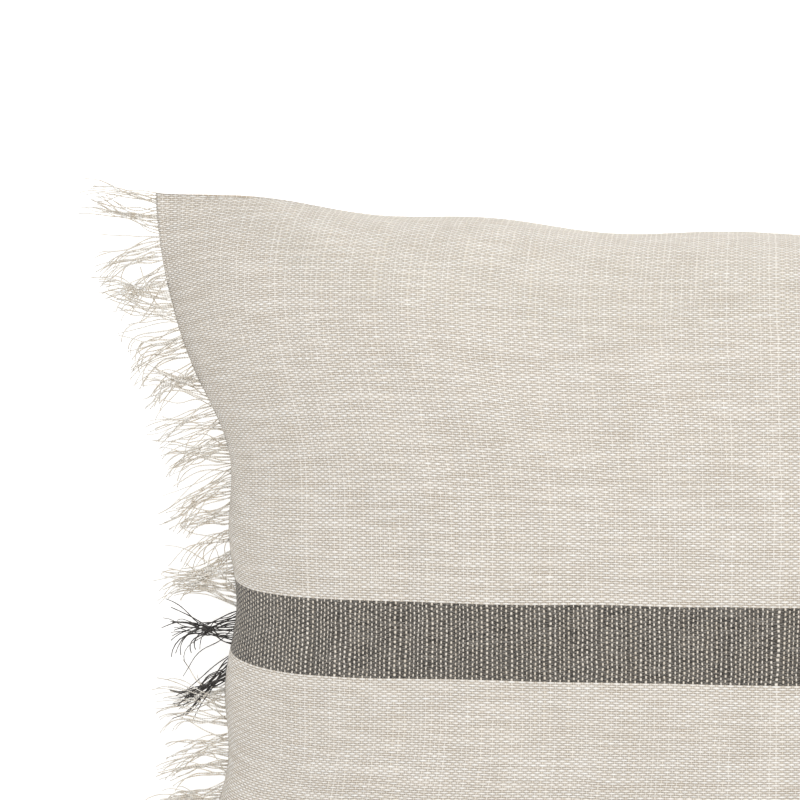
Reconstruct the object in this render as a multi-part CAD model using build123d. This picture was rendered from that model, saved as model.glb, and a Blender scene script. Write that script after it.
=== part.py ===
from build123d import *
import os
from math import asin, cos, pi, radians, sin

# A filled lumbar throw pillow lying on its back: +X along its width, +Y towards
# its top edge, +Z out of its front face. The origin is under its middle, at the
# level that it lies on. All sizes are in millimetres.

# The cover and how the filling draws it in
PANEL_WIDTH = 600.0       # each panel, flat, from seam to seam
PANEL_HEIGHT = 400.0
CORNER_DRAW_X = 16.0      # how far each corner is drawn in from the flat panel
CORNER_DRAW_Y = 12.0
SIDE_DRAW = 35.0          # how much further in the middle of a short side lies
EDGE_DRAW = 20.0          # the same for the two long edges
SEAM_LEVEL = 62.0         # height of the seam over the surface
FRONT_RISE = 70.0         # crown of the front over the seam
FRONT_SHOULDER = 130.0    # width of the curved border round the crown
BACK_SHOULDER = 95.0      # the same round the flat where the back rests
DRAW_RUN = 0.76           # share of half a side over which a corner spreads
ZIP_EDGE_RUN = 0.40       # the same on the edge that the zip keeps straight
TIP_SLOPE = 0.475         # how early a corner starts to leave its tip
CROWN_CORNER = 0.8        # where the crown's corners lie, as a share of its half sides

# Fabric and seams
CLOTH = 1.2               # thickness of the woven cover
ALLOWANCE = 11.0          # seam allowance turned inside
THREAD = 0.4
THREAD_INSET = 4.0        # line of stitches, in from the seam
TICKING = 0.6             # thickness of the inner pillow's casing
TICKING_GAP = 0.4         # between the cover and the casing, away from the seam
INSERT_INSET = 13.0       # the inner pillow's own seam, in from the cover's
FILLING_GAP = 0.3

# Fringe along both short sides
FRINGE_LENGTH = 33.0
FRINGE_THICKNESS = 0.8    # also the gap between the two halves of the cover
FRINGE_HEADER = 9.0       # woven header held in the side seam
LOCK_WIDTH = 11.5
FRINGE_REACH = 184.0      # half the fringed stretch of a side
DARK_LOW, DARK_HIGH = -24.0, 5.0    # stretch of the fringe in the stripe's colour

# Zip in the bottom edge
ZIP_HALF = 166.0          # half the opening in the cover
ZIP_SLIT = 5.2            # half the width of that opening
TAPE = 0.6
TAPE_HALF = 172.0
TAPE_WIDTH = 12.0
TOOTH_PITCH = 3.0
TOOTH_WIDTH = 1.4
TOOTH_LENGTH = 2.4
TOOTH_DEPTH = 2.2
TEETH_SLIT = 0.6          # half the gap that the slider's neck runs in
STOP_LENGTH = 3.0
SLIDER_LENGTH = 10.0
SLIDER_HALF_WIDTH = 4.5
SLIDER_PLATE = 1.2
SLIDER_PLAY = 0.3
TAPE_LEAN = 0.5           # how far a tape leans inwards beside the slider
SLIDER_AT = 150.0         # the slider's place with the zip closed
PIN_RADIUS = 0.8
PIN_PLAY = 0.05
PIN_STANDOFF = 1.8        # pin axis over the slider's outer plate
LUG_RADIUS = 1.5
LUG = 1.0
PULL_THICKNESS = 1.2
PULL_LENGTH = 24.0
PULL_HALF_WIDTH = 2.3
STITCH_LENGTH, STITCH_PITCH = 3.0, 4.0
STITCH_ROW = 9.5          # rows of stitches beside the zip, from its middle
STITCH_GAP = 0.35         # between a stitch and the cloth that it lies on

# Care label, blank, held in the bottom seam inside the cover
LABEL_AT = 205.0
LABEL_WIDTH = 30.0
LABEL_THICKNESS = 0.3

TIP_X = PANEL_WIDTH / 2 - CORNER_DRAW_X
TIP_Y = PANEL_HEIGHT / 2 - CORNER_DRAW_Y
SEAM_HALF = FRINGE_THICKNESS / 2
MID_X = TIP_X - SIDE_DRAW
MID_Y = TIP_Y - EDGE_DRAW
LEVELS = [radians(15 * step) for step in range(7)]
SIDE_POINTS = [-1, -0.85, -0.68, -0.5, -0.25, 0, 0.25, 0.5, 0.68, 0.85, 1]
CHAIN_Y = -MID_Y + 2.0    # middle of the zip's teeth


def bell(along, run):
    """0 at the ends of a side and 1 along its middle, with a smooth rise between."""
    return sin(pi / 2 * min(1.0, (1 - abs(along)) / run)) ** 2


def bow(along, run, turn):
    """How far the side has moved from its chord, which fills out as the dome rises."""
    return (1 - sin(turn) ** 2) * bell(along, run) + sin(turn) ** 2 * (1 - along**2)


def outline(inset, shoulder, turn=0.0):
    """The corner's X and Y, then the half width and half height, of one level of the dome."""
    drawn = shoulder * (1 - cos(turn))
    half_x = MID_X - inset - drawn
    half_y = MID_Y - inset - drawn
    climb = TIP_SLOPE * sin(turn) + (1 - TIP_SLOPE) * (1 - cos(turn))
    corner_x = TIP_X - inset + climb * (CROWN_CORNER * (MID_X - shoulder) - TIP_X)
    corner_y = TIP_Y - inset + climb * (CROWN_CORNER * (MID_Y - shoulder) - TIP_Y)
    return corner_x, corner_y, half_x, half_y


def section(inset, shoulder, turn, level):
    """One closed level of the dome: four splines from corner to corner."""
    corner_x, corner_y, half_x, half_y = outline(inset, shoulder, turn)

    def long_edge(sign, run):
        return [
            (s * corner_x, sign * (corner_y + (half_y - corner_y) * bow(s, run, turn)), level)
            for s in SIDE_POINTS
        ]

    def short_side(sign):
        return [
            (sign * (corner_x + (half_x - corner_x) * bow(s, DRAW_RUN, turn)), s * corner_y, level)
            for s in SIDE_POINTS
        ]

    bottom = Edge.make_spline([Vector(*p) for p in long_edge(-1, ZIP_EDGE_RUN)])
    right = Edge.make_spline([Vector(*p) for p in short_side(1)])
    top = Edge.make_spline([Vector(*p) for p in reversed(long_edge(1, DRAW_RUN))])
    left = Edge.make_spline([Vector(*p) for p in reversed(short_side(-1))])
    return Wire([bottom, right, top, left])


def dome(inset, base, crown, shoulder):
    """A solid dome between two levels, the first at the seam."""
    levels = [(turn, base + (crown - base) * sin(turn)) for turn in LEVELS]
    return Solid.make_loft([section(inset, shoulder, turn, level) for turn, level in levels])


def front_dome(inset):
    return dome(inset, SEAM_LEVEL + SEAM_HALF, SEAM_LEVEL + FRONT_RISE - inset, FRONT_SHOULDER)


def back_dome(inset):
    return dome(inset, SEAM_LEVEL - SEAM_HALF, inset, BACK_SHOULDER)


def slab(inset, low, high):
    """A flat slab of the seam's outline, between two heights over the seam."""
    face = Face(section(inset, FRONT_SHOULDER, 0.0, SEAM_LEVEL + low))
    return Solid.extrude(face, Vector(0, 0, high - low))


def block(x, y, z):
    """A box from (low, high) pairs, with z counted from the seam."""
    size = (x[1] - x[0], y[1] - y[0], z[1] - z[0])
    middle = ((x[0] + x[1]) / 2, (y[0] + y[1]) / 2, SEAM_LEVEL + (z[0] + z[1]) / 2)
    return Pos(*middle) * Box(*size)


def rod(radius, x, y, z):
    """A round bar along Z, with z a (low, high) pair counted from the seam."""
    return Pos(x, y, SEAM_LEVEL + (z[0] + z[1]) / 2) * Cylinder(radius, z[1] - z[0])


def zip_opening(extra=0.0):
    return block(
        (-ZIP_HALF - extra, ZIP_HALF + extra),
        (-TIP_Y, -MID_Y + 1.5 * ALLOWANCE),
        (-ZIP_SLIT - extra, ZIP_SLIT + extra),
    )


def side_edge(y):
    """X of the right-hand seam at a height along the side."""
    return TIP_X + (MID_X - TIP_X) * bell(y / TIP_Y, DRAW_RUN)


def fringe_outline(low, high):
    """Points round one stretch of the right-hand fringe, tip by tip."""
    count = max(2, round((high - low) / LOCK_WIDTH))
    width = (high - low) / count
    points = [(side_edge(low) - FRINGE_HEADER, low)]
    for lock in range(count):
        start = low + lock * width
        middle = start + width / 2
        length = FRINGE_LENGTH * (0.92 + 0.08 * sin(2.3 * middle / LOCK_WIDTH))
        outward = 6.0 * (middle / FRINGE_REACH) ** 5
        points.append((side_edge(start) + 0.12 * length, start))
        points.append((side_edge(middle) + length, middle + outward - 0.1 * width))
        points.append((side_edge(middle) + length, middle + outward + 0.1 * width))
    points.append((side_edge(high) + 0.12 * FRINGE_LENGTH, high))
    for step in range(count + 1):
        y = high - step * width
        points.append((side_edge(y) - FRINGE_HEADER, y))
    return points


def fringe(side, stretches):
    """Fringe of one side; side is 1 on the right and -1 on the left."""
    pieces = []
    for low, high in stretches:
        points = [(side * x, y) for x, y in fringe_outline(low, high)]
        flat = Face(Wire.make_polygon([Vector(x, y, 0) for x, y in points[:-1]], close=True))
        lift = Pos(0, 0, SEAM_LEVEL - FRINGE_THICKNESS / 2)
        pieces.append(lift * Solid.extrude(flat, Vector(0, 0, FRINGE_THICKNESS)))
    return pieces


def natural_fringe(side):
    return fringe(side, [(-FRINGE_REACH, DARK_LOW), (DARK_HIGH, FRINGE_REACH)])


def dark_fringe(side):
    return fringe(side, [(DARK_LOW, DARK_HIGH)])


def cover_panel(make_dome, side):
    """One half of the cover: a domed skin with its seam allowance turned in."""
    low, high = sorted((side * SEAM_HALF, side * (SEAM_HALF + CLOTH)))
    allowance = slab(0.0, low, high) - slab(ALLOWANCE, low, high)
    return make_dome(0.0) - (make_dome(CLOTH) - allowance) - zip_opening()


def seam_thread(side):
    """The lockstitch thread, lying on one face of the seam allowance."""
    face = SEAM_HALF + CLOTH
    low, high = sorted((side * face, side * (face + THREAD)))
    ring = slab(THREAD_INSET, low, high) - slab(THREAD_INSET + THREAD, low, high)
    return ring - zip_opening(extra=4.0)


def ticking(make_dome):
    outer = CLOTH + TICKING_GAP
    return insert_dome(make_dome, outer) - insert_dome(make_dome, outer + TICKING)


def insert_dome(make_dome, inset):
    """The inner pillow's dome: under the cover, but drawn in clear of its seam."""
    return make_dome(inset) & slab_column(INSERT_INSET + inset)


def slab_column(inset):
    return slab(inset, -SEAM_LEVEL, FRONT_RISE)


def filling():
    inset = CLOTH + TICKING_GAP + TICKING + FILLING_GAP
    waist = slab(INSERT_INSET + inset + 1.0, -SEAM_HALF, SEAM_HALF)
    return insert_dome(front_dome, inset) + waist + insert_dome(back_dome, inset)


def insert_seam():
    """Edge seam of the inner pillow, between the two halves of its casing."""
    inset = INSERT_INSET + CLOTH + TICKING_GAP
    return slab(inset, -SEAM_HALF, SEAM_HALF) - slab(inset + TICKING, -SEAM_HALF, SEAM_HALF)


def zip_tape(make_dome, side):
    """A tape that follows the inside of the cover, from the teeth outwards."""
    start = TEETH_SLIT + TOOTH_LENGTH
    span = sorted((side * start, side * (start + TAPE_WIDTH)))
    strip = block((-TAPE_HALF, TAPE_HALF), (-TIP_Y, -MID_Y + 20), span)
    return (make_dome(CLOTH + 0.1) - make_dome(CLOTH + 0.1 + TAPE)) & strip


def teeth(side):
    """Every tooth on one tape; the two rows are set half a pitch apart."""
    count = int(2 * SLIDER_AT // TOOTH_PITCH)
    shift = 0.25 * side * TOOTH_PITCH
    span = sorted((side * TEETH_SLIT, side * (TEETH_SLIT + TOOTH_LENGTH)))
    depth = (CHAIN_Y - TOOTH_DEPTH / 2, CHAIN_Y + TOOTH_DEPTH / 2)
    row = []
    for index in range(count):
        x = -SLIDER_AT + (index + 0.5) * TOOTH_PITCH + shift
        row.append(block((x - TOOTH_WIDTH / 2, x + TOOTH_WIDTH / 2), depth, span))
    return row


def stop(x, low, high):
    depth = (CHAIN_Y - TOOTH_DEPTH / 2, CHAIN_Y + TOOTH_DEPTH / 2)
    return block((x, x + STOP_LENGTH), depth, (low, high))


def top_stops():
    x = SLIDER_AT + SLIDER_LENGTH / 2 + 1.0
    outer = TEETH_SLIT + TOOTH_LENGTH
    return [stop(x, TEETH_SLIT, outer), stop(x, -outer, -TEETH_SLIT)]


def bottom_stop():
    outer = TEETH_SLIT + TOOTH_LENGTH
    return stop(-SLIDER_AT - SLIDER_LENGTH / 2 - 1.0 - STOP_LENGTH, -outer, outer)


def pin_axis_y():
    chain_face = CHAIN_Y - TOOTH_DEPTH / 2 - SLIDER_PLAY
    return chain_face - SLIDER_PLATE - PIN_STANDOFF


def slider():
    """Two plates round the teeth, joined by a neck, with lugs for the pull's pin."""
    x = (SLIDER_AT - SLIDER_LENGTH / 2, SLIDER_AT + SLIDER_LENGTH / 2)
    wide = (-SLIDER_HALF_WIDTH, SLIDER_HALF_WIDTH)
    outside = CHAIN_Y - TOOTH_DEPTH / 2 - SLIDER_PLAY
    inside = CHAIN_Y + TOOTH_DEPTH / 2 + SLIDER_PLAY
    body = block(x, (outside - SLIDER_PLATE, outside), wide)
    body = body + block(x, (inside, inside + SLIDER_PLATE), wide)
    neck = TEETH_SLIT - 0.15
    body = body + block((x[1] - 3.0, x[1]), (outside, inside), (-neck, neck))
    tape_outer = -MID_Y + CLOTH + 0.1
    lip = TEETH_SLIT + TOOTH_LENGTH + SLIDER_PLAY
    for side in (1, -1):
        span = sorted((side * lip, side * SLIDER_HALF_WIDTH))
        body = body + block(x, (outside, tape_outer - SLIDER_PLAY), span)
        body = body + block(x, (tape_outer + TAPE + TAPE_LEAN, inside), span)
    body = chamfer(body.edges().filter_by(Axis.Y).filter_by(on_slider_corner), 1.0)
    for side in (1, -1):
        body = body + lug(side, outside - SLIDER_PLATE)
    return body - rod(PIN_RADIUS, SLIDER_AT, pin_axis_y(), (-4, 4))


def on_slider_corner(edge):
    middle = edge.center()
    return abs(abs(middle.Z - SEAM_LEVEL) - SLIDER_HALF_WIDTH) < 0.01


def lug(side, plate_y):
    span = sorted((side * 1.6, side * (1.6 + LUG)))
    foot = block((SLIDER_AT - LUG_RADIUS, SLIDER_AT + LUG_RADIUS), (pin_axis_y(), plate_y), span)
    return foot + rod(LUG_RADIUS, SLIDER_AT, pin_axis_y(), span)


def pull_pin():
    return rod(PIN_RADIUS, SLIDER_AT, pin_axis_y(), (-1.6 - LUG, 1.6 + LUG))


def pull():
    """A flat tab on the pin, lying back over the closed teeth."""
    y = (pin_axis_y() - PULL_THICKNESS / 2, pin_axis_y() + PULL_THICKNESS / 2)
    neck = block((SLIDER_AT - 4.0, SLIDER_AT), y, (-1.4, 1.4))
    wide = (-PULL_HALF_WIDTH, PULL_HALF_WIDTH)
    tab = block((SLIDER_AT - PULL_LENGTH, SLIDER_AT - 3.0), y, wide)
    tab = fillet(tab.edges().filter_by(Axis.Y), 1.2)
    hole = Pos(SLIDER_AT - PULL_LENGTH + 5.0, pin_axis_y(), SEAM_LEVEL) * (
        Rot(90, 0, 0) * Cylinder(1.2, 4)
    )
    knuckle = rod(LUG_RADIUS, SLIDER_AT, pin_axis_y(), (-1.4, 1.4))
    return (neck + tab + knuckle) - hole - rod(
        PIN_RADIUS + PIN_PLAY, SLIDER_AT, pin_axis_y(), (-4, 4)
    )


def bottom_wall(x, rise, shoulder):
    """Y of the cover's outside at the rows of stitches beside the zip."""
    turn = asin(STITCH_ROW / rise)
    corner_x, corner_y, _, half_y = outline(0.0, shoulder, turn)
    return -(corner_y + (half_y - corner_y) * bow(x / corner_x, ZIP_EDGE_RUN, turn))


def zip_stitching():
    """Two rows of stitches on the cover, beside the zip."""
    count = int(2 * ZIP_HALF // STITCH_PITCH)
    rows = []
    for rise, shoulder, side in ((FRONT_RISE, FRONT_SHOULDER, 1), (SEAM_LEVEL, BACK_SHOULDER, -1)):
        span = (side * STITCH_ROW - THREAD / 2, side * STITCH_ROW + THREAD / 2)
        for index in range(count):
            x = (index + 0.5) * STITCH_PITCH - ZIP_HALF
            wall = bottom_wall(x, rise, shoulder) - STITCH_GAP
            across = (x - STITCH_LENGTH / 2, x + STITCH_LENGTH / 2)
            rows.append(block(across, (wall - THREAD, wall), span))
    return rows


def care_label():
    half = LABEL_WIDTH / 2
    low = SEAM_HALF + CLOTH
    strip = block((LABEL_AT - half, LABEL_AT + half), (-TIP_Y, 0), (low, low + LABEL_THICKNESS))
    ring = slab(THREAD_INSET + 2 * THREAD, low, low + LABEL_THICKNESS)
    ring = ring - slab(ALLOWANCE, low, low + LABEL_THICKNESS)
    return strip & ring


def solids_of(shape):
    """Every solid in a shape or in a list of shapes."""
    shapes = shape if isinstance(shape, (list, tuple, ShapeList)) else [shape]
    return [solid for one in shapes for solid in one.solids()]


def write(name, shape):
    solids = solids_of(shape)
    whole = solids[0] if len(solids) == 1 else Compound(children=solids)
    whole.label = name
    export_step(whole, f"parts/{name}.step")


def main():
    os.makedirs("parts", exist_ok=True)
    write("cover_front_panel", cover_panel(front_dome, 1))
    write("cover_back_panel", cover_panel(back_dome, -1))
    write("seam_thread_needle", seam_thread(1))
    write("seam_thread_bobbin", seam_thread(-1))
    write("fringe_left_natural", natural_fringe(-1))
    write("fringe_left_charcoal", dark_fringe(-1))
    write("fringe_right_natural", natural_fringe(1))
    write("fringe_right_charcoal", dark_fringe(1))
    write("insert_ticking_front", ticking(front_dome))
    write("insert_ticking_back", ticking(back_dome))
    write("insert_filling", filling())
    write("insert_seam_thread", insert_seam())
    write("care_label", care_label())
    write("zipper_tape_front", zip_tape(front_dome, 1))
    write("zipper_tape_back", zip_tape(back_dome, -1))
    write("zipper_teeth_front", teeth(1))
    write("zipper_teeth_back", teeth(-1))
    write("zipper_top_stops", top_stops())
    write("zipper_bottom_stop", bottom_stop())
    write("zipper_slider", slider())
    write("zipper_pull_pin", pull_pin())
    write("zipper_pull", pull())
    write("zipper_stitching", zip_stitching())


main()
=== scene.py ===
import math

import bpy
import numpy as np
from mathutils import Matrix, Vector


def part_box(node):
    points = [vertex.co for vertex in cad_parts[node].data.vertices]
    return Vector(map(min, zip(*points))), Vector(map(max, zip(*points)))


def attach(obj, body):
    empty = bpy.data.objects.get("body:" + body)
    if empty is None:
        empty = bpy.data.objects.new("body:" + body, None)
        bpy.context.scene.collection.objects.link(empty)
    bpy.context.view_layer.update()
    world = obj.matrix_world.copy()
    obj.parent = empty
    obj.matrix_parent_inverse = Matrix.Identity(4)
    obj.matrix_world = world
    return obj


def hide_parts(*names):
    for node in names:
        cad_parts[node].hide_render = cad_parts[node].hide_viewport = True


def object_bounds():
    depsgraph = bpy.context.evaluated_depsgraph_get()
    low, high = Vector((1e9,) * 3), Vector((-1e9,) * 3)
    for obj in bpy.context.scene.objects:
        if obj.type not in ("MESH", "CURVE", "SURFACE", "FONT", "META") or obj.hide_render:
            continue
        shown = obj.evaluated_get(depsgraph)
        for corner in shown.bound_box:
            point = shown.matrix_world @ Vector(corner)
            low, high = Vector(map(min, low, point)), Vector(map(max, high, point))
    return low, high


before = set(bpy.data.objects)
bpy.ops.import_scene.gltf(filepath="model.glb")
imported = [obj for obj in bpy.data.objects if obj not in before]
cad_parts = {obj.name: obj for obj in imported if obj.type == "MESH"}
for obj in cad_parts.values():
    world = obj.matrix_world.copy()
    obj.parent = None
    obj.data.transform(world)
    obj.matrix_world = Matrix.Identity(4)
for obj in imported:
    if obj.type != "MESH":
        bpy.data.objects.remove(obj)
cad_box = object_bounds()

# ---- Sizes, in metres, taken from the frame and from the flat panels ----
PANEL_X, PANEL_Y = 0.300, 0.200         # half the flat size of each cover panel
CLOTH = 0.0012                          # thickness of the woven cover
GRID_X, GRID_Y = 132, 88                # cells of the cloth mesh across a panel
SHOULDER = {"front": 0.130, "back": 0.095}     # width of the curved border
CORNER_RUN, ZIP_RUN = 0.76, 0.40        # share of half a side that a corner takes
STRIPE_HALF = 0.0165                    # half the height of the charcoal stripe
STRIPE_AT = -0.0065                     # the stripe's middle, up from the panel's
STRIPE_LIFT = 0.0105                    # how far the stripe turns up at the side
WARP_PITCH, WEFT_PITCH = 0.00216, 0.00102
MOST_MOVED = 0.007                      # cap on what the simulation may move
SEAM_WAVE, LUMP, FOLD = 0.0013, 0.0008, 0.0016      # uneven seam, filling, corner folds
SIM_FRAMES = 18
FRINGE_PITCH = 0.00102                  # one yarn of the fringe for each pick of weft
LOCK_WIDTH = (0.005, 0.0155)            # narrowest and widest lock of the fringe
ROOT_DEPTH = 0.004                      # how far inside the seam a yarn starts
SEED = 7

panel_low, panel_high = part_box("cover_front_panel")
back_low, back_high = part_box("cover_back_panel")
tape_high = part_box("zipper_tape_front")[1]
SEAM_Z = (panel_low[2] + back_high[2]) / 2
RISE = {"front": panel_high[2] - SEAM_Z, "back": SEAM_Z - back_low[2]}
CORNER_TRIM = 0.004                     # the corners lie this much further in along Y
TIP_X, TIP_Y = panel_high[0], panel_high[1] - CORNER_TRIM
SIDE_DRAW, EDGE_DRAW = 0.035, 0.016
MID_X, MID_Y = TIP_X - SIDE_DRAW, TIP_Y - EDGE_DRAW
SLIT_RAMP = 0.006                       # length over which each end of the zip opens
ZIP_HALF = tape_high[0] - SLIT_RAMP     # half the opening, inside the tape's ends
ZIP_SLIT = 0.0064                       # half the height of the opening
CASING_INSET, CASING_SEAM, CASING = 0.0030, 0.015, 0.0006     # under the cloth, at the seam, thick
FILLING_INSET, FILLING_SEAM = 0.0042, 0.0165
THREAD_INSET, THREAD_RADIUS, THREAD_RISE = 0.004, 0.0002, 0.00022


# ---- Node helpers ----
class Nodes:
    """Short calls that add nodes to one material."""

    def __init__(self, name):
        self.material = bpy.data.materials.new(name)
        self.material.use_nodes = True
        self.tree = self.material.node_tree
        self.shader = self.tree.nodes["Principled BSDF"]

    def add(self, kind, **inputs):
        node = self.tree.nodes.new(kind)
        for key, value in inputs.items():
            self.put(node.inputs[key], value)
        return node

    def put(self, socket, value):
        if isinstance(value, bpy.types.NodeSocket):
            self.tree.links.new(value, socket)
        else:
            socket.default_value = value

    def math(self, operation, *values):
        node = self.tree.nodes.new("ShaderNodeMath")
        node.operation = operation
        for socket, value in zip(node.inputs, values):
            self.put(socket, value)
        return node.outputs[0]

    def mix(self, factor, a, b, blend="MIX"):
        node = self.tree.nodes.new("ShaderNodeMix")
        node.data_type = "RGBA"
        node.blend_type = blend
        self.put(node.inputs[0], factor)
        self.put(node.inputs[6], a)
        self.put(node.inputs[7], b)
        return node.outputs[2]

    def span(self, value, low, high, to_low=0.0, to_high=1.0):
        node = self.add("ShaderNodeMapRange")
        for socket, item in zip(node.inputs, (value, low, high, to_low, to_high)):
            self.put(socket, item)
        return node.outputs[0]

    def vector(self, x, y, z=0.0):
        node = self.add("ShaderNodeCombineXYZ")
        for socket, item in zip(node.inputs, (x, y, z)):
            self.put(socket, item)
        return node.outputs[0]

    def noise(self, vector, scale, detail=2.0, roughness=0.5):
        node = self.add("ShaderNodeTexNoise")
        self.put(node.inputs["Vector"], vector)
        node.inputs["Scale"].default_value = scale
        node.inputs["Detail"].default_value = detail
        node.inputs["Roughness"].default_value = roughness
        return node.outputs["Fac"]

    def white(self, vector):
        node = self.add("ShaderNodeTexWhiteNoise")
        self.put(node.inputs["Vector"], vector)
        return node.outputs["Value"]

    def uv(self):
        node = self.add("ShaderNodeSeparateXYZ")
        self.put(node.inputs[0], self.add("ShaderNodeUVMap").outputs[0])
        return node.outputs[0], node.outputs[1]

    def place(self):
        return self.add("ShaderNodeTexCoord").outputs["Object"]

    def bump(self, height, distance, strength=1.0):
        node = self.add("ShaderNodeBump")
        self.put(node.inputs["Height"], height)
        node.inputs["Distance"].default_value = distance
        node.inputs["Strength"].default_value = strength
        self.put(self.shader.inputs["Normal"], node.outputs[0])

    def finish(self, color, roughness, sheen=0.0, metallic=0.0):
        self.put(self.shader.inputs["Base Color"], color)
        self.put(self.shader.inputs["Roughness"], roughness)
        self.shader.inputs["Metallic"].default_value = metallic
        self.shader.inputs["Sheen Weight"].default_value = sheen
        self.shader.inputs["Sheen Roughness"].default_value = 0.5
        return self.material


def linear(red, green, blue):
    """A display colour, 0 to 255, as linear RGBA."""
    values = []
    for part in (red / 255, green / 255, blue / 255):
        values.append(part / 12.92 if part <= 0.04045 else ((part + 0.055) / 1.055) ** 2.4)
    return (*values, 1.0)


# ---- Materials ----
def woven_cloth(name):
    """Plain weave on the panel's own coordinates, with a charcoal weft stripe."""
    n = Nodes(name)
    u, v = n.uv()
    place = n.vector(u, v)
    sway = n.math("SUBTRACT", n.noise(place, 9.0), 0.5)
    drift = n.math("SUBTRACT", n.noise(n.vector(u, v, 3.0), 13.0), 0.5)
    bunch = n.math("SUBTRACT", n.noise(n.vector(u, 0.0, 5.0), 55.0), 0.5)
    wander = n.math("SUBTRACT", n.noise(n.vector(u, v, 8.0), 150.0), 0.5)
    slide = n.math("ADD", n.math("MULTIPLY", sway, 0.004), n.math("MULTIPLY", bunch, 0.0060))
    slide = n.math("ADD", slide, n.math("MULTIPLY", wander, 0.0014))
    ends = n.math("DIVIDE", n.math("ADD", u, slide), WARP_PITCH)
    picks = n.math("DIVIDE", n.math("ADD", v, n.math("MULTIPLY", drift, 0.0025)), WEFT_PITCH)
    end, pick = n.math("FLOOR", ends), n.math("FLOOR", picks)
    across = n.math("SUBTRACT", n.math("FRACT", ends), 0.5)
    along = n.math("SUBTRACT", n.math("FRACT", picks), 0.5)
    odd = n.math("FLOORED_MODULO", n.math("ADD", end, pick), 2.0)
    over = n.math("SUBTRACT", 1.0, n.math("MULTIPLY", odd, 2.0))

    weft_slub = n.span(n.noise(n.vector(u, n.math("MULTIPLY", pick, 7.31)), 38.0), 0.3, 0.7, 0.72, 1.2)
    warp_slub = n.span(n.noise(n.vector(v, n.math("MULTIPLY", end, 5.17)), 34.0), 0.3, 0.7, 0.75, 1.2)

    def yarn(offset, width):
        """Round profile across a yarn: 1 at its middle, 0 at its edge and past it."""
        share = n.math("DIVIDE", n.math("ABSOLUTE", offset), width)
        square = n.math("MULTIPLY", share, share)
        return n.math("SQRT", n.math("MAXIMUM", n.math("SUBTRACT", 1.0, square), 0.0))

    weft_wave = n.math("MULTIPLY", n.math("COSINE", n.math("MULTIPLY", across, math.pi)), over)
    warp_wave = n.math("MULTIPLY", n.math("COSINE", n.math("MULTIPLY", along, math.pi)), over)
    weft_round = yarn(along, n.math("MULTIPLY", weft_slub, 0.50))
    warp_round = yarn(across, n.math("MULTIPLY", warp_slub, 0.21))
    weft = n.math("MULTIPLY", weft_round, n.math("ADD", 0.62, n.math("MULTIPLY", weft_wave, 0.38)))
    warp = n.math("MULTIPLY", warp_round, n.math("SUBTRACT", 0.58, n.math("MULTIPLY", warp_wave, 0.42)))
    height = n.math("MAXIMUM", weft, warp)
    on_weft = n.math("GREATER_THAN", n.math("ADD", weft, 0.001), warp)

    pick_tone = n.white(n.vector(pick, 0.5))
    end_tone = n.white(n.vector(end, 9.5))
    fibre = n.noise(n.vector(n.math("MULTIPLY", u, 0.25), v, pick), 1500.0, 3.0, 0.6)
    cloud = n.noise(n.vector(u, n.math("MULTIPLY", pick, 3.7)), 60.0)
    weft_color = n.mix(n.span(cloud, 0.3, 0.7), linear(255, 254, 251), linear(243, 237, 228))
    weft_color = n.mix(n.math("MULTIPLY", pick_tone, 0.3), weft_color, linear(235, 227, 215))
    warp_color = n.mix(end_tone, linear(248, 241, 230), linear(236, 226, 210))
    crossing = n.white(n.vector(end, pick, 2.5))
    warp_color = n.mix(n.math("MULTIPLY", crossing, 0.3), warp_color, linear(206, 196, 180))
    long_u = n.math("MULTIPLY", u, 0.25)
    streak = n.noise(n.vector(long_u, v, n.math("MULTIPLY", pick, 0.37)), 2600.0, 2.0, 0.6)
    middle = round(STRIPE_AT / WEFT_PITCH)
    half = round(STRIPE_HALF / WEFT_PITCH)
    inside = n.math("LESS_THAN", n.math("ABSOLUTE", n.math("SUBTRACT", pick, middle - 0.5)), half)
    patchy = n.math("ADD", n.math("MULTIPLY", cloud, 0.3), n.math("MULTIPLY", streak, 0.7))
    charcoal = n.mix(n.span(patchy, 0.42, 0.66), linear(38, 36, 34), linear(176, 171, 164))
    charcoal = n.mix(n.math("MULTIPLY", pick_tone, 0.2), charcoal, linear(90, 86, 81))
    weft_color = n.mix(inside, weft_color, charcoal)
    color = n.mix(on_weft, warp_color, weft_color)
    # Painted shade: the colour darkens towards (196, 184, 168) in the low gaps between yarns, where the weave
    # height falls.
    painted_gap_shade = n.span(height, 0.05, 0.85, 0.0, 1.0)
    speck = n.span(fibre, 0.25, 0.75, 0.90, 1.05)
    color = n.mix(1.0, color, n.mix(painted_gap_shade, linear(196, 184, 168), linear(255, 255, 255)), "MULTIPLY")
    color = n.mix(1.0, color, n.vector(speck, speck, speck), "MULTIPLY")
    relief = n.math("ADD", height, n.math("MULTIPLY", fibre, 0.10))
    n.bump(relief, 0.0007, 0.9)
    return n.finish(color, n.span(fibre, 0.3, 0.7, 0.82, 0.95), sheen=0.12)


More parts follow.
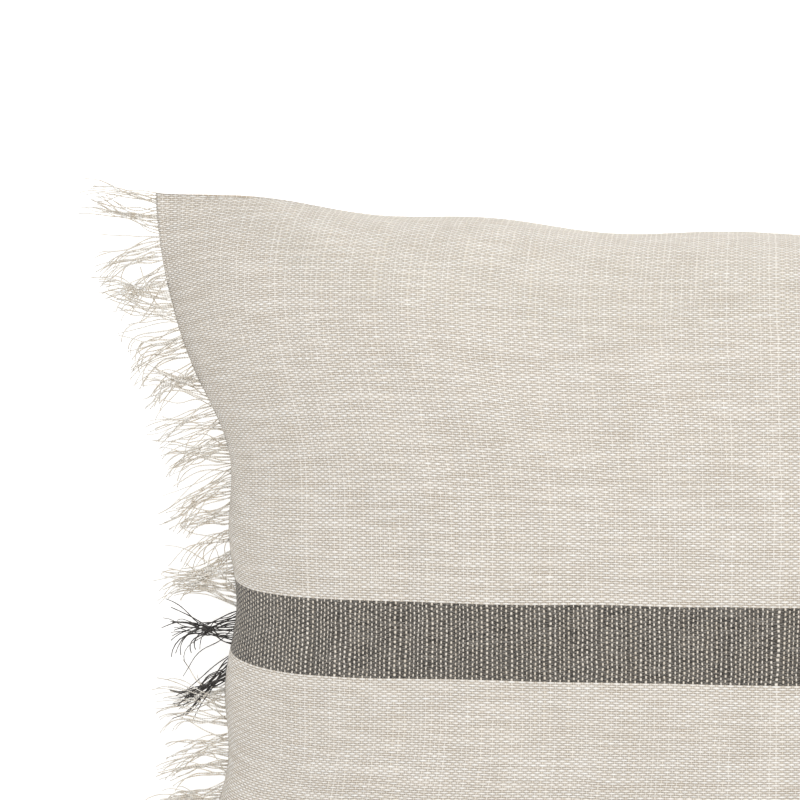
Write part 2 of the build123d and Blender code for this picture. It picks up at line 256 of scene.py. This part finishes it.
def yarn_material(name, light, dark, pitch=0.0011):
    """Twisted yarn: its UV runs round the strand and then along it, in metres."""
    n = Nodes(name)
    u, v = n.uv()
    turn = n.math("ADD", n.math("MULTIPLY", u, 2.0), n.math("DIVIDE", v, pitch))
    ply = n.math("ABSOLUTE", n.math("SINE", n.math("MULTIPLY", turn, math.pi)))
    fuzz = n.noise(n.place(), 1400.0, 3.0, 0.6)
    patch = n.noise(n.place(), 260.0)
    color = n.mix(n.span(patch, 0.35, 0.65), light, dark)
    # Painted shade: the colour darkens in the grooves between the twisted plies, times a random fibre tone.
    painted_ply_shade_and_fuzz = n.math("MULTIPLY", n.span(ply, 0.0, 0.7, 0.84, 1.0), n.span(fuzz, 0.3, 0.7, 0.9, 1.06))
    color = n.mix(1.0, color, n.vector(painted_ply_shade_and_fuzz, painted_ply_shade_and_fuzz, painted_ply_shade_and_fuzz), "MULTIPLY")
    n.bump(n.math("ADD", ply, n.math("MULTIPLY", fuzz, 0.4)), 0.0003, 0.8)
    return n.finish(color, 0.9, sheen=0.15)


def soft_material(name, light, dark, scale, relief, roughness=0.9, sheen=0.1):
    n = Nodes(name)
    grain = n.noise(n.place(), scale, 4.0, 0.6)
    cloud = n.noise(n.place(), scale / 12)
    both = n.math("ADD", n.math("MULTIPLY", grain, 0.5), n.math("MULTIPLY", cloud, 0.5))
    color = n.mix(n.span(both, 0.35, 0.65), light, dark)
    n.bump(grain, relief, 0.7)
    return n.finish(color, n.span(grain, 0.3, 0.7, roughness - 0.06, roughness + 0.04), sheen=sheen)


def herringbone_tape(name):
    """Narrow woven tape, in rows along X."""
    n = Nodes(name)
    split = n.add("ShaderNodeSeparateXYZ", Vector=n.place())
    along, across = split.outputs[0], split.outputs[2]
    rows = n.math("ABSOLUTE", n.math("SINE", n.math("MULTIPLY", across, math.pi / 0.0006)))
    ribs = n.math("ABSOLUTE", n.math("SINE", n.math("MULTIPLY", along, math.pi / 0.0009)))
    relief = n.math("MULTIPLY", rows, n.math("ADD", 0.5, n.math("MULTIPLY", ribs, 0.5)))
    # Painted shade: the colour darkens in the low grooves between the woven rows and ribs, following the
    # relief.
    color = n.mix(relief, linear(186, 174, 156), linear(222, 213, 198))
    n.bump(relief, 0.0002, 0.8)
    return n.finish(color, 0.88, sheen=0.1)


def metal(name):
    n = Nodes(name)
    wear = n.noise(n.place(), 700.0, 4.0, 0.6)
    color = n.mix(n.span(wear, 0.35, 0.7), linear(176, 172, 164), linear(120, 114, 105))
    n.bump(wear, 0.00004, 0.5)
    return n.finish(color, n.span(wear, 0.3, 0.7, 0.28, 0.5), metallic=1.0)


def plastic(name, light, dark):
    n = Nodes(name)
    grain = n.noise(n.place(), 2200.0, 3.0)
    color = n.mix(n.span(grain, 0.3, 0.7), light, dark)
    n.bump(grain, 0.00003, 0.4)
    return n.finish(color, n.span(grain, 0.3, 0.7, 0.38, 0.52))


cloth = woven_cloth("striped_plain_weave")
natural_yarn = yarn_material("natural_yarn", linear(255, 251, 243), linear(235, 225, 209))
charcoal_yarn = yarn_material("charcoal_yarn", linear(84, 79, 75), linear(52, 49, 46))
sewing_thread = yarn_material("sewing_thread", linear(228, 219, 204), linear(206, 195, 178), 0.0006)
casing_cloth = soft_material("white_casing", linear(238, 237, 233), linear(224, 222, 216), 1500.0, 0.0002)
fibre_fill = soft_material("fibre_fill", linear(248, 248, 246), linear(228, 228, 224), 420.0, 0.0016, 0.95)
satin = soft_material("blank_satin", linear(244, 243, 239), linear(232, 230, 224), 2600.0, 0.00005, 0.5)
tape_cloth = herringbone_tape("zip_tape_weave")
nickel = metal("antique_nickel")
teeth_plastic = plastic("beige_teeth", linear(208, 196, 176), linear(190, 177, 156))


# ---- The shape of the filled cover ----
def smooth(value):
    value = np.clip(value, 0, 1)
    return value * value * (3 - 2 * value)


def bell(along, run):
    reach = np.minimum(1.0, (1 - np.abs(along)) / run)
    return np.sin(np.pi / 2 * reach) ** 2


def shoulder_profile(arc, width, rise):
    """Where cloth lies after going this far in from the seam over the shoulder."""
    turn = np.linspace(0, np.pi / 2, 200)
    drawn = width * (1 - np.cos(turn))
    level = rise * np.sin(turn)
    steps = np.hypot(np.diff(drawn), np.diff(level))
    gone = np.concatenate([[0], np.cumsum(steps)])
    flat = np.maximum(arc - gone[-1], 0)
    return np.interp(arc, gone, drawn) + flat, np.interp(arc, gone, level) / rise, gone[-1]


def filled(s, t, side):
    """Points of a filled panel, from -1 to 1 across and up its flat cut."""
    width, rise = SHOULDER[side], RISE[side]
    whole = shoulder_profile(np.array([0.0]), width, rise)[2] - width
    drawn_x, up_x, _ = shoulder_profile((1 - np.abs(s)) * (MID_X + whole), width, rise)
    drawn_y, up_y, _ = shoulder_profile((1 - np.abs(t)) * (MID_Y + whole), width, rise)
    share_x, share_y = 1 - drawn_x / MID_X, 1 - drawn_y / MID_Y
    blend_x, blend_y = up_x**1.2, up_y**1.2
    share_x = share_x * blend_y + np.abs(s) * (1 - blend_y)
    share_y = share_y * blend_x + np.abs(t) * (1 - blend_x)
    sign = 1 if side == "front" else -1
    skew = sign * np.where(s < 0, 1.0, -0.5) * STRIPE_LIFT / TIP_Y
    share_y = np.sign(t) * share_y + skew * (1 - up_x) ** 2 * (1 - t**2) ** 2
    edge_x = TIP_X + (MID_X - TIP_X) * bell(share_y, CORNER_RUN)
    run = np.where(t < 0, ZIP_RUN, CORNER_RUN)
    edge_y = TIP_Y + (MID_Y - TIP_Y) * bell(s, run)
    points = [np.sign(s) * share_x * edge_x, share_y * edge_y, SEAM_Z + sign * rise * up_x * up_y]
    return np.stack(points, axis=-1)


def ripple(a, b, random, count=14, shortest=0.035, longest=0.11):
    """Smooth waves of many directions and lengths, about 1 high together."""
    total = 0
    for _ in range(count):
        turn, phase = random.uniform(0, np.pi), random.uniform(0, 2 * np.pi)
        length = random.uniform(shortest, longest)
        total = total + np.sin(2 * np.pi * (a * np.cos(turn) + b * np.sin(turn)) / length + phase)
    return total / np.sqrt(count / 2)


def creased(points, s, t, side):
    """Uneven seams, a lumpy filling and soft folds that run out of the corners."""
    seam_random, random = np.random.default_rng(SEED), np.random.default_rng(SEED + len(side))
    x, y = points[..., 0], points[..., 1]
    near_x, near_y = np.abs(s) ** 6, np.abs(t) ** 6
    stiff = np.clip((np.abs(x) - ZIP_HALF - 0.01) / 0.03, 0, 1) * (t < 0) + (t >= 0)
    edge_wave = ripple(x, 0 * x, seam_random, 6)
    side_wave = ripple(y, 0 * y, seam_random, 6, 0.05)
    points[..., 1] += np.sign(t) * SEAM_WAVE * edge_wave * near_y * (1 - s**8) * stiff
    points[..., 0] += np.sign(s) * SEAM_WAVE * side_wave * near_x * (1 - t**8)
    clear = (1 - s**8) * (1 - t**8)
    lumps = LUMP * ripple(x, y, random) * clear
    fold_x, fold_y = TIP_X - np.abs(x), TIP_Y - np.abs(y)
    away = np.hypot(fold_x, fold_y)
    fan = np.sin(9 * np.arctan2(fold_y, fold_x) + 2.2 * np.sin(40 * away) + 1.3 * np.sign(x * y))
    folds = FOLD * fan * np.exp(-(((away - 0.055) / 0.045) ** 2)) * clear
    sign = 1 if side == "front" else -1
    points[..., 2] += sign * (lumps + folds)
    return points


def opened_for_zip(points, side):
    """Lifts the bottom row of a panel to the edge of the zip's opening."""
    sign = 1 if side == "front" else -1
    row = points[0]
    share = np.clip((ZIP_HALF + SLIT_RAMP - np.abs(row[:, 0])) / SLIT_RAMP, 0, 1)
    row[:, 2] = SEAM_Z + sign * ZIP_SLIT * share
    return points


def panel_grid(side):
    s, t = np.meshgrid(np.linspace(-1, 1, GRID_X + 1), np.linspace(-1, 1, GRID_Y + 1))
    return opened_for_zip(creased(filled(s, t, side), s, t, side), side)


def quads(columns, rows, offset=0, flip=False):
    j, i = np.meshgrid(np.arange(rows), np.arange(columns), indexing="ij")
    first = (offset + j * (columns + 1) + i).ravel()
    corners = [first, first + 1, first + columns + 2, first + columns + 1]
    return np.stack(corners[::-1] if flip else corners, axis=1)


def mesh_object(name, points, faces, material, uvs=None, smooth=True):
    mesh = bpy.data.meshes.new(name)
    mesh.from_pydata(points.tolist(), [], list(faces))
    if uvs is not None:
        layer = mesh.uv_layers.new(name="cloth")
        loops = np.zeros(len(mesh.loops), np.int32)
        mesh.loops.foreach_get("vertex_index", loops)
        layer.data.foreach_set("uv", uvs[loops].astype(np.float32).ravel())
    mesh.materials.append(material)
    mesh.polygons.foreach_set("use_smooth", [smooth] * len(mesh.polygons))
    mesh.update()
    piece = bpy.data.objects.new(name, mesh)
    bpy.context.scene.collection.objects.link(piece)
    return piece


def flat_cut():
    u, v = np.meshgrid(np.linspace(-PANEL_X, PANEL_X, GRID_X + 1), np.linspace(-PANEL_Y, PANEL_Y, GRID_Y + 1))
    return u, v


def simulate(front, back):
    """Cloth settles from the filled shape, with the flat cut as its rest size."""
    u, v = flat_cut()
    count = u.size
    points = np.concatenate([front.reshape(-1, 3), back.reshape(-1, 3)])
    faces = np.concatenate([quads(GRID_X, GRID_Y), quads(GRID_X, GRID_Y, count, flip=True)])
    flat = np.stack([u, v, np.zeros_like(u)], axis=-1).reshape(-1, 3)
    rest = np.concatenate([flat, flat - [0, 0, 0.001]])
    piece = mesh_object("settling", points, faces, cloth)
    piece.shape_key_add(name="filled")
    key = piece.shape_key_add(name="cut")
    key.data.foreach_set("co", rest.ravel())
    key.value = 0.0
    edge = np.zeros(u.shape, bool)
    edge[0], edge[-1], edge[:, 0], edge[:, -1] = True, True, True, True
    held = np.flatnonzero(np.concatenate([edge.ravel(), edge.ravel()]))
    group = piece.vertex_groups.new(name="seam")
    group.add(held.tolist(), 1.0, "REPLACE")
    cloth_mod = piece.modifiers.new("Cloth", "CLOTH")
    s = cloth_mod.settings
    s.quality = 7
    s.mass = 0.25
    s.tension_stiffness = s.compression_stiffness = 25
    s.shear_stiffness = 8
    s.bending_stiffness = 1.2
    s.tension_damping = s.compression_damping = s.shear_damping = 12
    s.air_damping = 3
    s.vertex_group_mass = "seam"
    s.rest_shape_key = key
    s.use_pressure = True
    s.uniform_pressure_force = 2.5
    s.effector_weights.gravity = 0
    cloth_mod.point_cache.frame_end = SIM_FRAMES + 1
    scene = bpy.context.scene
    for step in range(1, SIM_FRAMES + 1):
        scene.frame_set(step)
    settled = np.zeros(len(points) * 3, np.float32)
    seen = piece.evaluated_get(bpy.context.evaluated_depsgraph_get())
    mesh = seen.to_mesh()
    mesh.vertices.foreach_get("co", settled)
    seen.to_mesh_clear()
    bpy.data.objects.remove(piece)
    scene.frame_set(1)
    moved = settled.reshape(-1, 3).astype(float) - points
    far = np.linalg.norm(moved, axis=1, keepdims=True)
    by_zip = smooth((0.026 - v - PANEL_Y) / 0.014) * smooth((0.205 - np.abs(u)) / 0.015)
    loose = 1 - np.concatenate([by_zip.ravel(), by_zip.ravel()])[:, None]
    kept = points + moved * loose * np.minimum(1, MOST_MOVED / np.maximum(far, 1e-9))
    kept[:, 2] = np.maximum(kept[:, 2], back_low[2] + CLOTH / 2)
    return kept[:count].reshape(front.shape), kept[count:].reshape(back.shape)


def panel_piece(name, points, side):
    u, v = flat_cut()
    uvs = np.stack([u, v], axis=-1).reshape(-1, 2)
    piece = mesh_object(name, points.reshape(-1, 3), quads(GRID_X, GRID_Y, flip=side == "back"), cloth, uvs)
    fine = piece.modifiers.new("fine", "SUBSURF")
    fine.levels = fine.render_levels = 1
    fine.boundary_smooth = "PRESERVE_CORNERS"
    thick = piece.modifiers.new("thick", "SOLIDIFY")
    thick.thickness = CLOTH
    thick.offset = -1
    return piece


front, back = panel_grid("front"), panel_grid("back")
front, back = simulate(front, back)

cover_front = panel_piece("cover_front", front, "front")
cover_back = panel_piece("cover_back", back, "back")
for piece, node in ((cover_front, "cover_front_panel"), (cover_back, "cover_back_panel")):
    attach(piece, "root")
    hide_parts(node)


# ---- The inner pillow, under the cover ----
def normals_of(points, flip):
    across = np.gradient(points, axis=1)
    up = np.gradient(points, axis=0)
    normal = np.cross(across, up)
    normal /= np.maximum(np.linalg.norm(normal, axis=-1, keepdims=True), 1e-12)
    return -normal if flip else normal


def inner(points, side, inset, seam_inset):
    """The same shape, further in, and much further in along the seam."""
    s, t = np.meshgrid(np.linspace(-1, 1, GRID_X + 1), np.linspace(-1, 1, GRID_Y + 1))
    near = np.maximum(np.abs(s) ** 12, np.abs(t) ** 12)[..., None]
    middle = np.array([0.0, 0.0, SEAM_Z])
    scale = np.array([1 - seam_inset / TIP_X, 1 - seam_inset / TIP_Y, 1.0])
    drawn = middle + (points - middle) * (1 + (scale - 1) * near)
    return drawn - normals_of(points, side == "back") * inset * (1 - near)


def casing_piece(name, points, side):
    coarse = inner(points, side, CASING_INSET, CASING_SEAM)[::2, ::2]
    coarse[0, :, 2] = coarse[-1, :, 2] = SEAM_Z
    coarse[:, 0, 2] = coarse[:, -1, 2] = SEAM_Z
    rows, columns = coarse.shape[0] - 1, coarse.shape[1] - 1
    piece = mesh_object(name, coarse.reshape(-1, 3), quads(columns, rows, flip=side == "back"), casing_cloth)
    thick = piece.modifiers.new("thick", "SOLIDIFY")
    thick.thickness = CASING
    thick.offset = -1
    return piece


def filling_piece(name):
    layers = []
    for points, side in ((front, "front"), (back, "back")):
        layer = inner(points, side, FILLING_INSET, FILLING_SEAM)[::2, ::2]
        layer[0, :, 2] = layer[-1, :, 2] = SEAM_Z
        layer[:, 0, 2] = layer[:, -1, 2] = SEAM_Z
        layers.append(layer)
    rows, columns = layers[0].shape[0] - 1, layers[0].shape[1] - 1
    top = layers[0].reshape(-1, 3)
    bottom = layers[1].reshape(-1, 3)
    faces = np.concatenate([quads(columns, rows), quads(columns, rows, len(top), flip=True)])
    grid = np.zeros((rows + 1, columns + 1), bool)
    grid[0], grid[-1], grid[:, 0], grid[:, -1] = True, True, True, True
    bottom_index = np.arange(len(top)) + len(top)
    bottom_index[grid.ravel()] = np.flatnonzero(grid.ravel())
    lookup = np.concatenate([np.arange(len(top)), bottom_index])
    faces = lookup[faces]
    used = np.unique(faces)
    remap = np.zeros(len(lookup), int)
    remap[used] = np.arange(len(used))
    points = np.concatenate([top, bottom])[used]
    return mesh_object(name, points, remap[faces], fibre_fill)


casing_front = casing_piece("insert_casing_front", front, "front")
casing_back = casing_piece("insert_casing_back", back, "back")
filling = filling_piece("insert_fibre_filling")
for piece, node, slot in (
    (casing_front, "insert_ticking_front", "ticking"),
    (casing_back, "insert_ticking_back", "ticking"),
    (filling, "insert_filling", "filling"),
):
    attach(piece, "root")
    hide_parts(node)


# ---- Fringe ----
def tubes(name, lines, radii, material, sides=5):
    """Thin round strands along lines of points, all with the same point count."""
    lines = np.asarray(lines)
    tangent = np.gradient(lines, axis=1)
    tangent /= np.linalg.norm(tangent, axis=-1, keepdims=True)
    up = np.array([0.0, 0.0, 1.0])
    first = np.cross(tangent, up)
    first /= np.maximum(np.linalg.norm(first, axis=-1, keepdims=True), 1e-9)
    second = np.cross(first, tangent)
    angle = np.arange(sides) / sides * 2 * np.pi
    ring = first[:, :, None] * np.cos(angle)[:, None] + second[:, :, None] * np.sin(angle)[:, None]
    points = lines[:, :, None] + ring * np.asarray(radii)[:, :, None, None]
    strands, steps = lines.shape[:2]
    index = np.arange(strands * steps * sides).reshape(strands, steps, sides)
    nxt = np.roll(index, -1, axis=2)
    wall = np.stack([index[:, :-1], nxt[:, :-1], nxt[:, 1:], index[:, 1:]], axis=-1).reshape(-1, 4)
    caps = [list(index[k, 0][::-1]) for k in range(strands)] + [list(index[k, -1]) for k in range(strands)]
    pieces = np.linalg.norm(np.diff(lines, axis=1), axis=-1)
    gone = np.concatenate([np.zeros((strands, 1)), np.cumsum(pieces, axis=1)], axis=1)
    shape = (strands, steps, sides)
    around = np.broadcast_to(angle / (2 * np.pi), shape)
    uv = np.stack([around, np.broadcast_to(gone[:, :, None], shape)], axis=-1).reshape(-1, 2)
    return mesh_object(name, points.reshape(-1, 3), wall.tolist() + caps, material, uv)


def side_seam(y):
    return TIP_X + (MID_X - TIP_X) * bell(np.asarray(y) / TIP_Y, CORNER_RUN)


def swept(start, heading, curve, hook, length, steps):
    """A line that starts outwards, bends evenly and hooks at its tip."""
    angle = heading + curve * steps + hook * np.maximum(steps - 0.6, 0) ** 1.4 * 3
    step = length / (len(steps) - 1)
    out = start[0] + np.concatenate([[0], np.cumsum(np.cos(angle[:-1]) * step)])
    up = start[1] + np.concatenate([[0], np.cumsum(np.sin(angle[:-1]) * step)])
    return out, up, angle


def fringe_lines(side, low, high, seed):
    """Yarns from the side seam, drawn together into locks that sweep and hook."""
    random = np.random.default_rng(seed)
    edges = [low]
    while edges[-1] < high - LOCK_WIDTH[0]:
        edges.append(edges[-1] + random.uniform(*LOCK_WIDTH))
    edges[-1] = high
    steps = np.linspace(0, 1, 18)
    lines, radii = [], []
    for start, end in zip(edges[:-1], edges[1:]):
        middle = (start + end) / 2
        corner = np.sign(middle) * smooth((abs(middle) / TIP_Y - 0.85) / 0.12)
        heading = random.normal(-0.06, 0.16) * (1 - abs(corner)) + 0.16 * corner
        curve = random.normal(-0.12, 0.38) * (1 - 0.7 * abs(corner))
        hook = random.normal(-0.30, 0.60) * (1 - 0.7 * abs(corner))
        lock_length = random.uniform(0.026, 0.034)
        gather, droop = random.uniform(0.30, 0.85), random.uniform(0.003, 0.011)
        for y0 in np.arange(start, end, FRINGE_PITCH * 0.68) + random.uniform(0, 0.0004):
            stray = random.random() < 0.08
            length = lock_length * random.uniform(0.74, 1.06)
            turn = random.normal(0, 0.35 if stray else 0.06)
            bend = curve + random.normal(0, 0.8 if stray else 0.16)
            root = (side_seam(y0) - ROOT_DEPTH, y0)
            tip = hook * random.uniform(0.5, 1.4)
            out, up, angle = swept(root, heading + turn, bend, tip, length + ROOT_DEPTH, steps)
            tight = (middle - y0) * gather * random.uniform(0.8, 1.1)
            drawn = tight * smooth(steps / 0.62) * (0.2 if stray else 1.0)
            flare = random.normal(0, 0.0022) * np.maximum(steps - 0.55, 0) ** 1.2 * 2.4
            phase, turns = random.uniform(0, 2 * np.pi), random.uniform(0.7, 2.1)
            wide = random.uniform(0.0003, 0.0012)
            sway = wide * np.sin(phase + turns * 2 * np.pi * steps) * smooth(steps * 3)
            aside = drawn + flare + sway
            out, up = out - np.sin(angle) * aside, up + np.cos(angle) * aside
            z = SEAM_Z - droop * steps**1.8 + random.normal(0, 0.0010) * smooth(3 * steps)
            z = z + 0.0010 * np.sin(phase * 1.7 + turns * 5 * steps) * smooth(steps * 2)
            lines.append(np.stack([side * out, up, z], axis=-1))
            thick = random.uniform(0.00020, 0.00033)
            radii.append(thick * (1 - 0.35 * steps**3) * (1 + 0.12 * np.sin(phase + 30 * steps)))
    return lines, radii


def fringe_pieces():
    dark_low, dark_high = (edge[1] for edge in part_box("fringe_left_charcoal"))
    for side, word in ((-1, "left"), (1, "right")):
        parts = [
            ("natural", [(-TIP_Y, dark_low), (dark_high, TIP_Y)], natural_yarn),
            ("charcoal", [(dark_low, dark_high)], charcoal_yarn),
        ]
        for color, stretches, material in parts:
            lines, radii = [], []
            for number, (low, high) in enumerate(stretches):
                more, widths = fringe_lines(side, low, high, SEED + 10 * number + side + len(color))
                lines += more
                radii += widths
            piece = tubes(f"fringe_{word}_{color}_yarns", lines, radii, material)
            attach(piece, "root")
            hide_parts(f"fringe_{word}_{color}")


fringe_pieces()


# ---- Threads of the seam, along the settled edge of the cover ----
def seam_path(inset, rise):
    """Round the cover from one end of the zip to the other, inside the edge."""
    half = GRID_X // 2
    sides = [front[0, half:], front[1:, -1], front[-1, -2::-1], front[-2::-1, 0], front[0, 1:half]]
    ring = np.concatenate(sides)
    in_zip = (ring[:, 1] < 0) & (np.abs(ring[:, 0]) < ZIP_HALF + 0.010)
    ring = ring[~in_zip] * [1 - inset / TIP_X, 1 - inset / TIP_Y, 1.0]
    ring[:, 2] = SEAM_Z + rise
    return ring


for word, rise in (("needle", THREAD_RISE), ("bobbin", -THREAD_RISE)):
    path = seam_path(THREAD_INSET, rise)[None]
    piece = tubes(f"seam_{word}_thread", path, np.full(path.shape[:2], THREAD_RADIUS), sewing_thread)
    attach(piece, "root")
    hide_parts(f"seam_thread_{word}")


# ---- Finishes of the CAD parts that stay ----
FINISHES = {
    "insert_seam_thread": sewing_thread,
    "zipper_stitching": sewing_thread,
    "care_label": satin,
    "zipper_tape_front": tape_cloth,
    "zipper_tape_back": tape_cloth,
    "zipper_teeth_front": teeth_plastic,
    "zipper_teeth_back": teeth_plastic,
    "zipper_top_stops": nickel,
    "zipper_bottom_stop": nickel,
    "zipper_slider": nickel,
    "zipper_pull_pin": nickel,
    "zipper_pull": nickel,
}
for node, material in FINISHES.items():
    for slot in bpy.data.objects[node].material_slots:
        slot.material = material


# ---- Floor, light and camera ----
def floor():
    n = Nodes("floor_white")
    cloud = n.noise(n.place(), 3.0)
    color = n.mix(cloud, linear(250, 250, 249), linear(253, 253, 252))
    n.shader.inputs["Emission Color"].default_value = (1, 1, 1, 1)
    n.shader.inputs["Emission Strength"].default_value = 0.45
    material = n.finish(color, 0.9)
    half = 40.0
    points = np.array([[-half, -half, 0], [half, -half, 0], [half, half, 0], [-half, half, 0]])
    piece = mesh_object("floor", points, np.array([[0, 1, 2, 3]]), material, smooth=False)
    piece.location.z = cad_box[0][2] - 0.0002


def light(name, place, size, power):
    data = bpy.data.lights.new(name, "AREA")
    data.shape = "DISK"
    data.size = size
    data.energy = power
    lamp = bpy.data.objects.new(name, data)
    bpy.context.scene.collection.objects.link(lamp)
    lamp.location = place
    aim = np.array([0.0, 0.0, SEAM_Z]) - np.array(place)
    lamp.rotation_euler = Vector(aim).to_track_quat("-Z", "Y").to_euler()


def sky(strength):
    world = bpy.data.worlds.new("studio")
    world.use_nodes = True
    world.node_tree.nodes["Background"].inputs[0].default_value = (1.0, 1.0, 1.0, 1.0)
    world.node_tree.nodes["Background"].inputs[1].default_value = strength
    bpy.context.scene.world = world


def camera():
    """Straight down on the front, framed on the top left of the cushion."""
    distance, view = 4.0, 0.344
    data = bpy.data.cameras.new("camera")
    data.lens_unit = "FOV"
    data.sensor_width = 36.0
    data.lens = 36.0 * distance / view
    data.clip_end = 50
    lens = bpy.data.objects.new("camera", data)
    bpy.context.scene.collection.objects.link(lens)
    roll = math.radians(0.6)
    middle = np.array([-0.177, 0.098])
    turned = (
        middle[0] * math.cos(roll) - middle[1] * math.sin(roll),
        middle[0] * math.sin(roll) + middle[1] * math.cos(roll),
    )
    lens.location = (turned[0], turned[1], SEAM_Z + distance)
    lens.rotation_euler = (0, 0, roll)
    bpy.context.scene.camera = lens


floor()
sky(0.70)
light("key", (0.75, 0.45, 2.4), 1.6, 27)
light("fill", (-1.2, 0.6, 2.6), 2.0, 8)
camera()
bpy.context.scene.view_settings.view_transform = "Standard"
